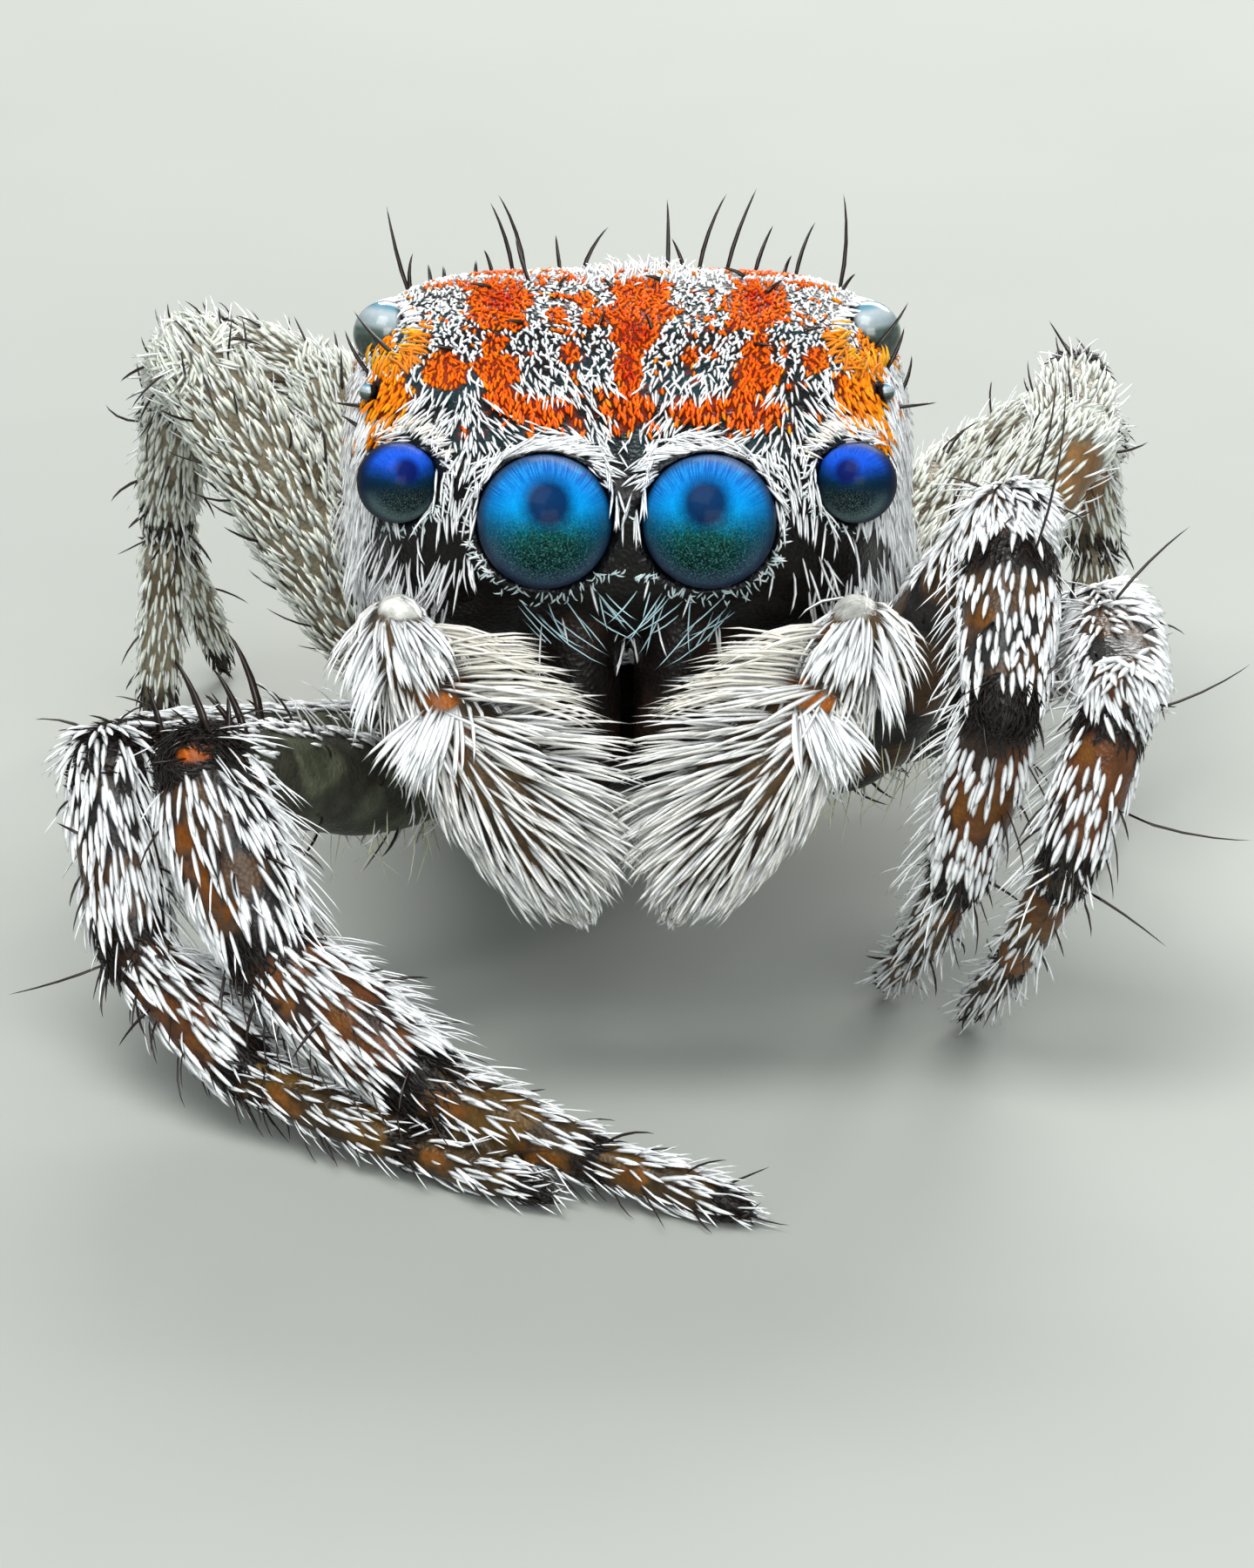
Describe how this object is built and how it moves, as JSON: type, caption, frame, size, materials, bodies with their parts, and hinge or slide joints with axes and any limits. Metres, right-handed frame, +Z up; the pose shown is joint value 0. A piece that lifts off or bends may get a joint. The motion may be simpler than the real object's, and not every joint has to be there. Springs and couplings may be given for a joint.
{
  "type": "peacock spider",
  "caption": "Adult male peacock spider standing still at life size, with large blue front eyes, a white and orange face, bushy white palps and banded bristly legs.",
  "frame": {"origin": "on the floor under the middle of the spider's box", "axes": "+Z up, the spider faces -Y, its left side is at +X"},
  "size_m": [0.0034, 0.0056, 0.0024],
  "materials": {
    "white_coat": "silky white hair over brown skin",
    "banded_coat": "white scales banded with dark brown",
    "face_coat": "short white and orange-red scales",
    "back_coat": "short scales in coloured bands",
    "dark_cuticle": "smooth dark brown skin",
    "eye_blue": "clear glossy blue eye",
    "eye_dark": "glossy black eye"
  },
  "bodies": {
    "root": {"carapace": "face_coat", "abdomen": "back_coat", "sternum": "dark_cuticle", "pedicel": "dark_cuticle", "spinnerets": "dark_cuticle", "eye_front_middle_right": "eye_blue", "eye_front_middle_left": "eye_blue", "eye_front_side_right": "eye_blue", "eye_front_side_left": "eye_blue", "eye_small_right": "eye_dark", "eye_small_left": "eye_dark", "eye_rear_right": "eye_dark", "eye_rear_left": "eye_dark", "chelicera_right": "dark_cuticle", "chelicera_left": "dark_cuticle", "palp_right_femur": "white_coat", "palp_right_tibia": "white_coat", "palp_right_bulb": "white_coat", "palp_left_femur": "white_coat", "palp_left_tibia": "white_coat", "palp_left_bulb": "white_coat", "leg_1_right_femur": "banded_coat", "leg_1_right_patella": "banded_coat", "leg_1_right_tibia": "banded_coat", "leg_1_right_foot": "banded_coat", "leg_2_right_femur": "banded_coat", "leg_2_right_patella": "banded_coat", "leg_2_right_tibia": "banded_coat", "leg_2_right_foot": "banded_coat", "leg_3_right_femur": "white_coat", "leg_3_right_patella": "white_coat", "leg_3_right_tibia": "white_coat", "leg_3_right_foot": "white_coat", "leg_4_right_femur": "white_coat", "leg_4_right_patella": "white_coat", "leg_4_right_tibia": "white_coat", "leg_4_right_foot": "white_coat", "leg_1_left_femur": "banded_coat", "leg_1_left_patella": "banded_coat", "leg_1_left_tibia": "banded_coat", "leg_1_left_foot": "banded_coat", "leg_2_left_femur": "banded_coat", "leg_2_left_patella": "banded_coat", "leg_2_left_tibia": "banded_coat", "leg_2_left_foot": "banded_coat", "leg_3_left_femur": "white_coat", "leg_3_left_patella": "white_coat", "leg_3_left_tibia": "white_coat", "leg_3_left_foot": "white_coat", "leg_4_left_femur": "white_coat", "leg_4_left_patella": "white_coat", "leg_4_left_tibia": "white_coat", "leg_4_left_foot": "white_coat"}
  },
  "joints": []
}
